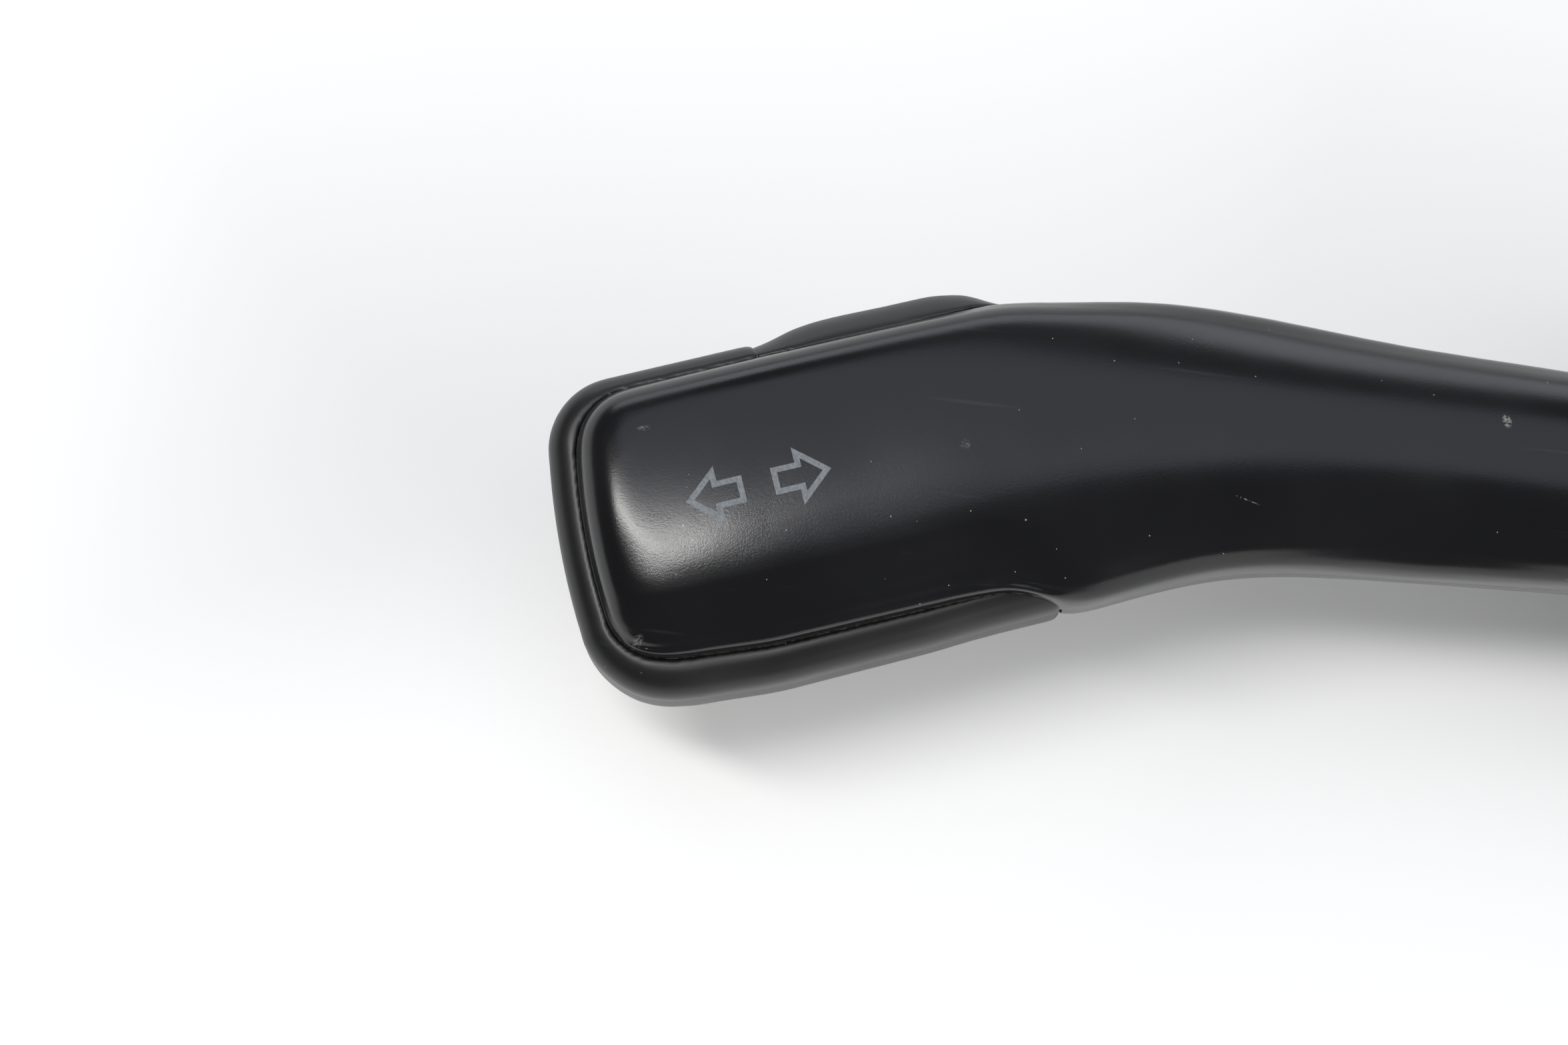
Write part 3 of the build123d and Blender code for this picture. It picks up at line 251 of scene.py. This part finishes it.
def solder_mask(name, roughness):
    """Glass-epoxy board under green solder mask: tracks show as slightly paler, raised lines."""
    material, tree, bsdf, place = shader(name, MASK_GREEN, roughness)
    bricks = add(tree, "ShaderNodeTexBrick", {"Vector": place, "Scale": 1.0, "Mortar Size": TRACK_WIDTH * MM,
                 "Brick Width": TRACK_LENGTH * MM, "Row Height": TRACK_PITCH * MM})
    track = bricks.outputs["Fac"]
    colour = add(tree, "ShaderNodeMix", {0: track, MIX_A: rgb(MASK_GREEN), MIX_B: rgb(MASK_OVER_TRACK)},
                 data_type="RGBA")
    bump = add(tree, "ShaderNodeBump", {"Height": track, "Strength": TRACK_STRENGTH,
               "Distance": COPPER_HEIGHT * MM})
    connect(tree, bsdf, {"Base Color": colour, "Normal": bump})
    return material


def printed_ink(name, roughness):
    """Pad-printed light grey ink: matt, slightly uneven where it bridges the grain."""
    material, tree, bsdf, place = shader(name, INK_THIN, roughness)
    film = add(tree, "ShaderNodeTexNoise", {"Vector": place, "Scale": per(INK_GRAIN_MM), "Detail": 3.0})
    patchy = add(tree, "ShaderNodeMapRange", {"Value": film, **INK_SPAN})
    colour = add(tree, "ShaderNodeMix", {0: patchy, MIX_A: rgb(INK_THIN), MIX_B: rgb(INK_THICK)},
                 data_type="RGBA")
    connect(tree, bsdf, {"Base Color": colour})
    return material


# centre, half sizes in mm, turn in degrees and strength of each worn spot on the lever's front
WEAR = (
    ((-70.7, 3.2, 28.4), (0.45, 0.75, 2.0), 20, 0.7),
    ((-116.6, -4.3, 28.8), (0.5, 0.5, 2.0), 0, 0.16),
    ((-110.8, -10.1, 28.0), (0.11, 0.09, 2.0), 0, 1.0),
    ((-92.2, -6.15, 27.0), (1.3, 0.06, 3.0), -14, 0.5),
    ((-142.6, -23.9, 25.8), (0.8, 0.5, 3.0), 60, 0.35),
    ((-144.1, -5.8, 27.0), (0.7, 0.3, 3.0), 10, 0.25),
)
# Near-black ABS, moulded with a fine spark-eroded grain: a soft, dark sheen, rubbed paler in a few
# spots, with dust in the seam round the cover. The grain is 0.2 mm across and 5 micrometres deep.
GRAINED = moulded("grained_black_abs", "#0e0e10", "#141416", roughness=0.19, grain_mm=0.20, depth_mm=0.005,
                  dust=0.8, patches=WEAR, ledge=(23.1, 23.75, -107.0))
# The same ABS with a duller sheen, so that its rounds carry a broad grey line instead of a glint.
SATIN = moulded("satin_black_abs", "#131314", "#1b1b1b", roughness=0.38, grain_mm=0.22, depth_mm=0.003,
                dust=0.8)
# Glass-filled PBT, moulded: matt, with pale clouds of fibre.
HOUSING = moulded("glass_filled_pbt", "#1c1c1d", "#2c2c2c", roughness=0.55, grain_mm=0.5, depth_mm=0.02,
                  worn=0.08)
# Grey polyamide, moulded: an even, faint sheen.
GREY = moulded("grey_polyamide", "#8a8c8e", "#9c9e9f", roughness=0.45, grain_mm=0.4, depth_mm=0.008)
# Unfilled acetal, moulded: milky, slightly waxy.
NATURAL = moulded("natural_acetal", "#e4dfd0", "#efeadd", roughness=0.38, grain_mm=0.5, depth_mm=0.004)
# Black polyamide of small switches, moulded: plain and half matt.
BLACK_PART = moulded("switch_body_plastic", "#191919", "#232323", roughness=0.4, grain_mm=0.3,
                     depth_mm=0.006)
# Soft PVC, extruded round the wires: smooth, with a dull shine.
SLEEVE = moulded("wire_sleeve_pvc", "#1a1a1b", "#242425", roughness=0.4, grain_mm=0.8, depth_mm=0.006)
# Zinc plate over steel, clear passivated: pale grey with a faint straw tint.
STEEL = metal("zinc_plated_steel", "#b9b8b2", "#a9a493", roughness=0.32, lines_mm=0.5)
# Rolled steel sheet, stamped and zinc plated: warmer, with faint rolling lines along X.
PLATED = metal("stamped_zinc_plate", "#bdb8a2", "#a8a184", roughness=0.36, lines_mm=0.35,
               stretch=(0.06, 1.0, 1.0))
# Bare drawn spring wire: darker, with a clean gloss.
SPRING = metal("drawn_spring_steel", "#8d8f92", "#77787a", roughness=0.28, lines_mm=0.2)
# Zinc alloy as it leaves the die: light grey, dull and slightly uneven.
DIE_CAST = metal("die_cast_alloy", "#a7a9ab", "#96989a", roughness=0.5, lines_mm=0.9, depth_mm=0.02)
# Rolled copper strip: warm and bright, with fine lines along X.
COPPER = metal("copper_contact", "#c98d63", "#b87a52", roughness=0.3, lines_mm=0.3,
               stretch=(0.2, 1.0, 1.0))
# Brass pins with a bright tin plate: pale with a yellow cast, drawn along Y.
TINNED = metal("tinned_brass", "#cfcbbd", "#c2b994", roughness=0.3, lines_mm=0.3,
               stretch=(1.0, 0.2, 1.0))
BOARD = solder_mask("green_solder_mask", roughness=0.32)
INK = printed_ink("pad_printed_ink", roughness=0.5)

FINISH = {
    "grained_black_plastic": GRAINED, "satin_black_plastic": SATIN, "housing_plastic": HOUSING,
    "grey_plastic": GREY, "natural_plastic": NATURAL, "switch_plastic": BLACK_PART, "board": BOARD,
    "wire_sleeve": SLEEVE, "steel": STEEL, "spring_steel": SPRING, "plated_steel": PLATED,
    "die_cast": DIE_CAST, "copper": COPPER, "tinned_brass": TINNED,
}

# ---- pieces ----------------------------------------------------------------------------------------

slots = {s["node"]: s["material_slot"] for s in frame["record"]["subparts"]}
bodies = {n: b for b, ns in frame["record"]["behaviour"]["bodies"].items() for n in ns}


def new_piece(name, mesh, body, material):
    """Mesh object at the origin that rides on a body."""
    piece = bpy.data.objects.new(name, mesh)
    bpy.context.scene.collection.objects.link(piece)
    mesh.materials.clear()
    mesh.materials.append(material)
    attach(piece, body)
    return piece


CREASE = 32.0            # degrees between faces that keep a sharp edge
WELD = 2e-6              # metres: points this close are one
NO_LENGTH = 1e-7


def smooth_skin(node):
    """Welded, smooth-shaded skin of a solid, with creases kept where faces meet at an angle."""
    source = frame["nodes"][node]
    form = bmesh.new()
    form.from_mesh(source.data)
    form.transform(source.matrix_world)
    bmesh.ops.remove_doubles(form, verts=form.verts, dist=WELD)
    bmesh.ops.dissolve_degenerate(form, edges=form.edges, dist=NO_LENGTH)
    for face in form.faces:
        face.smooth = True
    for edge in form.edges:
        edge.smooth = len(edge.link_faces) == 2 and edge.calc_face_angle(0) < math.radians(CREASE)
    mesh = bpy.data.meshes.new(node + "_skin")
    form.to_mesh(mesh)
    form.free()
    piece = new_piece(node + "_skin", mesh, bodies[node], FINISH[slots[node]])
    weighted = piece.modifiers.new("even_shading", "WEIGHTED_NORMAL")
    weighted.keep_sharp = True
    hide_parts(node)
    return piece


HALF_WAY = 0.5           # how far a free point goes in one pass


def relax(co, mesh, passes, freedom):
    """Moves points towards the middle of their neighbours, each as far as its freedom lets it."""
    ends = np.empty(2 * len(mesh.edges), np.int64)
    mesh.edges.foreach_get("vertices", ends)
    a, b = ends[::2], ends[1::2]
    count = len(co)
    links = np.bincount(a, minlength=count) + np.bincount(b, minlength=count)
    for _ in range(passes):
        sums = [np.bincount(a, co[b, i], count) + np.bincount(b, co[a, i], count) for i in range(3)]
        middle = np.stack(sums, 1) / links[:, None]
        co += HALF_WAY * freedom[:, None] * (middle - co)


def rise(x, start, end):
    """0 at start, 1 at end, an even S between them, and flat beyond; end may lie before start."""
    u = np.clip((x - start) / (end - start), 0.0, 1.0)
    return u * u * (3 - 2 * u)


def head_place(co):
    """Place of points in millimetres: t along the head, w across it, z from the middle plane."""
    x, y, z = co[:, 0] / MM - HEAD_POINT[0], co[:, 1] / MM - HEAD_POINT[1], co[:, 2] / MM - LEVER_Z
    c, n = math.cos(HEAD_TILT), math.sin(HEAD_TILT)
    return x * c + y * n, y * c - x * n, z


# Fine shape of the head's mouldings. Each row is a move along or across the head in millimetres, and
# the spans of t or w over which it grows from nothing to all of it.
EVERY_MOVE = (
    ("across", 0.5, ("w", -5, -11), ("t", 24, 12)),                    # low side drawn in
    ("across", 0.7, ("w", -5, -14), ("t", -2, -12)),                   # and more at the tip's low corner
    ("along", -0.25, ("t", -9, -15)),                                  # tip fuller
)
TIP_LEAN = 0.045         # the tip's end leans by this much for each millimetre across
OWN_MOVES = {
    "head_rear_shell": (
        ("across", 0.55, ("w", -11, -14), ("t", 9, 22.5)),             # low strip narrows to its end
        ("along", 0.3, ("t", 17, 22)),                                 # which lies a little further
        ("along", 0.3, ("w", 10, 12), ("t", -6, -1)),                  # so does its end at the rocker
    ),
    "rocker_button": (
        ("along", 1.8, ("t", 3, 17)),                                  # longer towards the neck
        ("along", -0.85, ("t", 4, -1)),                                # and towards the tip
        ("across", -0.35, ("w", 11, 14)),                              # closer to the head
        ("across", -0.9, ("w", 11.5, 14), ("t", 18, 22.5)),            # neck end tucked in
        ("across", 0.3, ("w", 12.8, 15.8), ("t", 21, 15)),             # outer face fuller,
        ("across", 0.5, ("w", 12.8, 15.8), ("t", 1, 5), ("t", 21, 15)),     # most in its middle
    ),
}
FACE_FALL = 0.15         # the rocker's face falls off by this much at 1 mm beyond FACE_START, and with
FACE_START = 12.0        # the square of the distance
FACE_WIDTH = 5.0


def head_shape(co, node):
    """Gives one of the head's mouldings its fine shape."""
    t, w, z = head_place(co)
    place = {"t": t, "w": w}
    moved = {"along": TIP_LEAN * w * rise(t, -7, -15), "across": 0.0}
    for way, distance, *spans in EVERY_MOVE + OWN_MOVES.get(node, ()):
        for axis, start, end in spans:
            distance = distance * rise(place[axis], start, end)
        moved[way] = moved[way] + distance
    if node == "rocker_button":
        co[:, 2] -= FACE_FALL * np.clip(w - FACE_START, 0, FACE_WIDTH) ** 2 * rise(z, -2, 1.5) * MM
    t, w = t + moved["along"], w + moved["across"]
    c, n = math.cos(HEAD_TILT), math.sin(HEAD_TILT)
    co[:, 0] = (HEAD_POINT[0] + t * c - w * n) * MM
    co[:, 1] = (HEAD_POINT[1] + t * n + w * c) * MM


SHOULDER_DOWN = 0.65     # the cover's low shoulder is taken down by this much,
LIP_UP = 1.15            # and its low edge is raised by this much
SLICE = 1.0              # the low edge is found in slices this long
EDGE_HEIGHT = 1.0        # from the points above this height over the middle plane


def low_fall(co):
    """Lets the cover fall away evenly to its low edge, where the solid has a narrow round."""
    t, w, z = head_place(co)
    slices = np.arange(t.min(), t.max() + SLICE, SLICE)
    slot = np.digitize(t, slices) - 1
    upper = z > EDGE_HEIGHT
    edge = np.full(len(slices), w.max())
    np.minimum.at(edge, slot[upper], w[upper])
    edge = np.convolve(np.pad(edge, 1, mode="edge"), np.full(3, 1 / 3), "valid")
    inside = w - np.interp(t, slices + SLICE / 2, edge)
    from_tip = rise(t, -16.5, -13)
    shoulder = rise(inside, 0.5, 2.0) * rise(inside, 6.0, 2.3) * rise(z, 0.5, 2.5)
    shoulder = shoulder * from_tip * rise(t, 26, 19)
    lip = rise(inside, 0.9, 0.1) * rise(z, 0.8, 2.4) * from_tip * rise(t, 23, 19)
    co[:, 2] += (LIP_UP * lip - SHOULDER_DOWN * shoulder) * MM


LAST_PASSES = 2          # every moulding ends with these passes of this freedom
LAST_FREEDOM = 0.35
SEAM_HEIGHT = 1.0        # the seam's height over the middle plane
SEAM_REACH = (3.0, 1.4)  # the swelling grows over these distances from it


def moulded_skin(node, grid, passes, fixed, free, swell):
    """Skin on an even grid whose rounds run into each other, as in a hand-finished mould; points at the
    height fixed over the middle plane keep their place, those at the height free relax fully. The skin
    swells a little near the seam, which the grid would widen."""
    skin = smooth_skin(node)
    skin.modifiers.clear()
    even = skin.modifiers.new("even_grid", "REMESH")
    even.mode = "VOXEL"
    even.voxel_size = grid * MM
    bpy.context.view_layer.update()
    mesh = bpy.data.meshes.new_from_object(skin.evaluated_get(bpy.context.evaluated_depsgraph_get()))
    skin.modifiers.clear()
    co = np.empty(3 * len(mesh.vertices))
    mesh.vertices.foreach_get("co", co)
    co = co.reshape(-1, 3)
    relax(co, mesh, passes, rise(co[:, 2] / MM - LEVER_Z, fixed, free))
    relax(co, mesh, LAST_PASSES, np.full(len(co), LAST_FREEDOM))
    mesh.vertices.foreach_set("co", co.ravel())
    mesh.update()
    out = np.empty(3 * len(mesh.vertices), np.float32)
    mesh.vertices.foreach_get("normal", out)
    from_seam = np.abs(co[:, 2] / MM - LEVER_Z - SEAM_HEIGHT)
    co += out.reshape(-1, 3) * (swell * MM * rise(from_seam, *SEAM_REACH))[:, None]
    if node == "front_shell":
        low_fall(co)
    head_shape(co, node)
    mesh.vertices.foreach_set("co", co.ravel())
    mesh.polygons.foreach_set("use_smooth", np.ones(len(mesh.polygons), bool))
    mesh.materials.clear()
    mesh.materials.append(FINISH[slots[node]])
    mesh.update()
    skin.data = mesh
    return skin


# name: grid, passes, height that keeps its place, height that relaxes fully, swelling (millimetres)
MOULDED = {
    "front_shell": (0.36, 44, 0.4, 2.4, 0.22),
    "head_rear_shell": (0.30, 14, 2.15, 1.0, 0.10),
    "rocker_button": (0.25, 4, -20.0, -19.0, 0.05),
}
skins = {node: moulded_skin(node, *MOULDED[node]) if node in MOULDED else smooth_skin(node)
         for node in frame["nodes"]}

# Each spring that a joint deforms gets a mesh of its own.
for joint in frame["joints"]:
    for spring in joint.get("deforming_nodes") or []:
        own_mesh(skins[spring["node"]])


# ---- arrows printed on the crown -------------------------------------------------------------------

ARROW_LENGTH = 5.1
ARROW_BARB = 5.15        # across the barbs
ARROW_TAIL = 2.4         # across the tail
ARROW_TAIL_LENGTH = 2.15
ARROW_STROKE = 0.5
CUTS_ALONG = 8           # parts of each side of the outline
CUTS_ACROSS = 3          # parts of the stroke's width
PRINT_START = 12.0       # the flat print starts this high over the middle plane
INK_LIFT = 0.012
RAY_LENGTH = 50.0


def arrow_outline(inset):
    """Outline of a block arrow that points to -t, moved inwards by inset."""
    head = ARROW_LENGTH - ARROW_TAIL_LENGTH
    slope = math.atan2(ARROW_BARB / 2, head)
    tip = -ARROW_LENGTH / 2 + inset / math.sin(slope)
    shoulder = -ARROW_LENGTH / 2 + head - inset
    barb = (shoulder - tip) * math.tan(slope)
    tail = ARROW_TAIL / 2 - inset
    end = ARROW_LENGTH / 2 - inset
    return [(tip, 0), (shoulder, barb), (shoulder, tail), (end, tail), (end, -tail), (shoulder, -tail),
            (shoulder, -barb)]


def arrow_ring(t, w, sign):
    """Points and faces of one flat outlined arrow, cut finely so that it can follow the crown."""
    outer = arrow_outline(0.0)
    inner = arrow_outline(ARROW_STROKE)
    loops = []
    for k in range(CUTS_ACROSS + 1):
        f = k / CUTS_ACROSS
        loop = []
        for i in range(len(outer)):
            j = (i + 1) % len(outer)
            for step in range(CUTS_ALONG):
                g = step / CUTS_ALONG
                a = [outer[i][c] * (1 - g) + outer[j][c] * g for c in (0, 1)]
                b = [inner[i][c] * (1 - g) + inner[j][c] * g for c in (0, 1)]
                far, side = a[0] * (1 - f) + b[0] * f, a[1] * (1 - f) + b[1] * f
                loop.append(along(t + sign * far, w + side, PRINT_START))
        loops.append(loop)
    count = len(loops[0])
    points = [p for loop in loops for p in loop]
    faces = []
    for k in range(CUTS_ACROSS):
        for i in range(count):
            j = (i + 1) % count
            faces.append((k * count + i, k * count + j, (k + 1) * count + j, (k + 1) * count + i))
    return points, faces


def draped_print(name, points, faces, shell, body):
    """Lays a flat print on a shell with Geometry Nodes and returns it as a plain piece."""
    mesh = bpy.data.meshes.new(name)
    mesh.from_pydata(points, [], faces)
    flat = bpy.data.objects.new(name + "_flat", mesh)
    bpy.context.scene.collection.objects.link(flat)
    tree = bpy.data.node_groups.new("drape_print", "GeometryNodeTree")
    tree.interface.new_socket("Geometry", in_out="INPUT", socket_type="NodeSocketGeometry")
    tree.interface.new_socket("Shell", in_out="INPUT", socket_type="NodeSocketObject")
    tree.interface.new_socket("Lift", in_out="INPUT", socket_type="NodeSocketFloat")
    tree.interface.new_socket("Ink", in_out="INPUT", socket_type="NodeSocketMaterial")
    tree.interface.new_socket("Geometry", in_out="OUTPUT", socket_type="NodeSocketGeometry")
    given = add(tree, "NodeGroupInput")
    target = add(tree, "GeometryNodeObjectInfo", {"Object": given.outputs["Shell"]},
                 transform_space="RELATIVE")
    ray = add(tree, "GeometryNodeRaycast", {"Target Geometry": target.outputs["Geometry"],
              "Ray Direction": (0, 0, -1), "Ray Length": RAY_LENGTH * MM})
    lift = add(tree, "ShaderNodeVectorMath", {0: ray.outputs["Hit Normal"], "Scale": given.outputs["Lift"]},
               operation="SCALE")
    spot = add(tree, "ShaderNodeVectorMath", {0: ray.outputs["Hit Position"], 1: lift.outputs["Vector"]},
               operation="ADD")
    laid = add(tree, "GeometryNodeSetPosition", {"Geometry": given.outputs["Geometry"],
               "Position": spot.outputs["Vector"]})
    real = add(tree, "GeometryNodeRealizeInstances", {"Geometry": laid.outputs["Geometry"]})
    inked = add(tree, "GeometryNodeSetMaterial", {"Geometry": real.outputs["Geometry"],
                "Material": given.outputs["Ink"]})
    add(tree, "NodeGroupOutput", {"Geometry": inked.outputs["Geometry"]})
    drape = flat.modifiers.new("drape", "NODES")
    drape.node_group = tree
    names = {s.name: s.identifier for s in tree.interface.items_tree if s.in_out == "INPUT"}
    drape[names["Shell"]] = shell
    drape[names["Lift"]] = INK_LIFT * MM
    drape[names["Ink"]] = INK
    bpy.context.view_layer.update()
    laid_mesh = bpy.data.meshes.new_from_object(flat.evaluated_get(bpy.context.evaluated_depsgraph_get()))
    bpy.data.objects.remove(flat)
    laid_mesh.name = name
    form = bmesh.new()
    form.from_mesh(laid_mesh)
    up = sum(face.normal.z for face in form.faces)
    if up < 0:
        bmesh.ops.reverse_faces(form, faces=form.faces)
    form.to_mesh(laid_mesh)
    form.free()
    return new_piece(name, laid_mesh, body, INK)


# name: middle along and across the head in millimetres, and 1 to point at the tip or -1 at the neck
ARROWS = {"arrow_left": (-5.35, -0.05, 1), "arrow_right": (2.28, -0.05, -1)}
for name, (t, w, sign) in ARROWS.items():
    points, faces = arrow_ring(t, w, sign)
    arrow = draped_print(name, points, faces, skins["front_shell"], "lever")

# ---- floor, light and camera -----------------------------------------------------------------------

FLOOR_REACH = 3.0        # metres from the middle to each side
FLOOR_WHITE = "#f4f4f3"
FLOOR_ROUGHNESS = 0.55
FLOOR_SHINE = 0.2

floor_mesh = bpy.data.meshes.new("floor")
corners = [(x * FLOOR_REACH, y * FLOOR_REACH, 0) for x, y in ((-1, -1), (1, -1), (1, 1), (-1, 1))]
floor_mesh.from_pydata(corners, [], [(0, 1, 2, 3)])
floor = bpy.data.objects.new("floor", floor_mesh)
bpy.context.scene.collection.objects.link(floor)
floor_paint, _, floor_bsdf, _ = shader("white_table", FLOOR_WHITE, FLOOR_ROUGHNESS)
floor_bsdf.inputs["Specular IOR Level"].default_value = FLOOR_SHINE
floor_mesh.materials.append(floor_paint)

TILT = math.radians(12.0)      # the camera leans this far from straight above
TURN = math.radians(6.5)       # and is turned by this much
LENS = 90.0
SENSOR_WIDTH = 36.0
VIEW_WIDTH = 136.4 * MM        # seen at the lever's middle plane
VIEW_MIDDLE = (-131.4, -11.2)
NEAREST = 0.01
target = Vector((*VIEW_MIDDLE, LEVER_Z)) * MM
right = Vector((math.cos(TURN), math.sin(TURN), 0))
uphill = Vector((-math.sin(TURN), math.cos(TURN), 0))
back = (-uphill * math.sin(TILT) + Vector((0, 0, 1)) * math.cos(TILT)).normalized()
camera_data = bpy.data.cameras.new("camera")
camera_data.lens = LENS
camera_data.sensor_width = SENSOR_WIDTH
camera_data.clip_start = NEAREST
camera = bpy.data.objects.new("camera", camera_data)
bpy.context.scene.collection.objects.link(camera)
distance = VIEW_WIDTH * LENS / SENSOR_WIDTH
axes = Matrix((right, back.cross(right), back)).transposed()
camera.matrix_world = Matrix.Translation(target + back * distance) @ axes.to_4x4()
bpy.context.scene.camera = camera


def softbox(name, where, aim, size, power, colour):
    """Rectangular light that faces a point."""
    lamp = bpy.data.lights.new(name, "AREA")
    lamp.shape = "RECTANGLE"
    lamp.size, lamp.size_y = size
    lamp.energy = power
    lamp.color = colour
    lamp_object = bpy.data.objects.new(name, lamp)
    lamp_object.location = where
    lamp_object.rotation_euler = (Vector(aim) - Vector(where)).to_track_quat("-Z", "Y").to_euler()
    bpy.context.scene.collection.objects.link(lamp_object)


# name: place and aim in metres, size across and along, radiance, tint
PANELS = {
    "sky_panel": ((-0.10, 0.44, 1.10), (-0.10, 0.0, 0.0), (1.25, 1.1), 0.78, (0.90, 0.96, 1.12)),
    "tip_lamp": ((-0.42, 0.06, 0.81), (-0.142, -0.015, 0.028), (0.11, 0.54), 19.5, (1.0, 0.99, 0.97)),
    "side_fill": ((1.20, -0.25, 0.46), (-0.10, -0.03, 0.0), (2.0, 0.7), 8.6, (1.0, 0.995, 0.98)),
    "window": ((-0.13, 1.60, 0.36), (-0.13, 0.0, 0.0), (2.4, 0.55), 1.8, (0.95, 0.98, 1.05)),
}
for name, (where, aim, size, radiance, tint) in PANELS.items():
    softbox(name, where, aim, size, radiance * math.pi * size[0] * size[1], tint)
ROOM_TINT = (0.95, 0.97, 1.0, 1.0)
ROOM_GLOW = 0.15
world = bpy.data.worlds.new("room")
world.use_nodes = True
room = world.node_tree.nodes["Background"]
room.inputs["Color"].default_value = ROOM_TINT
room.inputs["Strength"].default_value = ROOM_GLOW
bpy.context.scene.world = world
bpy.context.scene.view_settings.view_transform = "Standard"
